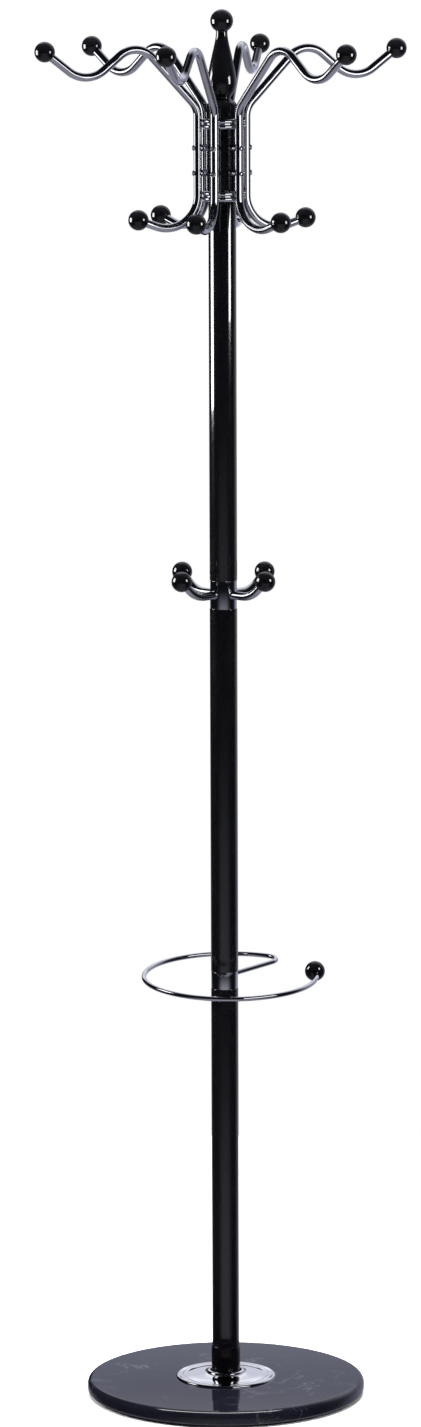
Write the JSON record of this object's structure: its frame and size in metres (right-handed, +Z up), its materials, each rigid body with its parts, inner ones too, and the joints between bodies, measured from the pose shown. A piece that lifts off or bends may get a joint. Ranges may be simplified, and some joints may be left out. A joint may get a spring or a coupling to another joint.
{
  "type": "standing coat rack",
  "caption": "Tall pole on a round stone base with a swivelling head of S-shaped ball-ended arms, lower hooks and an open umbrella ring.",
  "frame": {"origin": "on the floor, on the pole's axis, at the middle of the feet's resting plane", "axes": "+Z up along the pole; +X towards the umbrella ring's ball; +Y to the back, where the umbrella ring's slope is highest"},
  "size_m": [0.4638, 0.4586, 1.7696],
  "materials": {
    "marble": "polished black marble with faint grey veins",
    "black_lacquer": "gloss black lacquer",
    "black_plastic": "gloss black",
    "chrome": "polished chrome plate",
    "bare_steel": "zinc-plated steel",
    "nylon": "natural nylon",
    "rubber": "matt black"
  },
  "bodies": {
    "stand": {"marble_base": "marble", "base_feet": "rubber", "base_washer": "bare_steel", "base_bolt": "bare_steel", "base_flange": "chrome", "bottom_ferrule": "black_plastic", "bottom_plug": "bare_steel", "lower_tube": "black_lacquer", "lower_tube_plug": "bare_steel", "ring_stud": "bare_steel", "ring_collar": "chrome", "umbrella_ring": "chrome", "umbrella_ring_ball": "black_plastic", "middle_tube_low_plug": "bare_steel", "middle_tube": "black_lacquer", "middle_tube_top_plug": "bare_steel", "hook_stud": "bare_steel", "hook_collar": "chrome", "upper_tube_plug": "bare_steel", "upper_tube": "black_lacquer", "spindle_socket": "black_plastic", "spindle": "bare_steel", "swivel_nut": "bare_steel", "hook_1": "chrome", "hook_2": "chrome", "hook_3": "chrome", "hook_4": "chrome", "hook_ball_1": "black_plastic", "hook_ball_2": "black_plastic", "hook_ball_3": "black_plastic", "hook_ball_4": "black_plastic"},
    "head": {"low_bush": "nylon", "top_bush": "nylon", "head_sleeve": "black_lacquer", "low_trim_ring": "chrome", "top_trim_ring": "chrome", "head_cap": "black_plastic", "finial": "black_plastic", "arm_screws": "chrome", "arm_spacers": "chrome", "arm_nuts": "bare_steel", "arm_1": "chrome", "arm_2": "chrome", "arm_3": "chrome", "arm_4": "chrome", "arm_5": "chrome", "arm_6": "chrome", "arm_top_ball_1": "black_plastic", "arm_top_ball_2": "black_plastic", "arm_top_ball_3": "black_plastic", "arm_top_ball_4": "black_plastic", "arm_top_ball_5": "black_plastic", "arm_top_ball_6": "black_plastic", "arm_low_ball_1": "black_plastic", "arm_low_ball_2": "black_plastic", "arm_low_ball_3": "black_plastic", "arm_low_ball_4": "black_plastic", "arm_low_ball_5": "black_plastic", "arm_low_ball_6": "black_plastic"}
  },
  "joints": [
    {"name": "head_swivel", "type": "hinge", "parent": "stand", "child": "head", "pos_m": [0, 0, 1.5312], "axis": [0, 0, 1], "continuous": true}
  ]
}
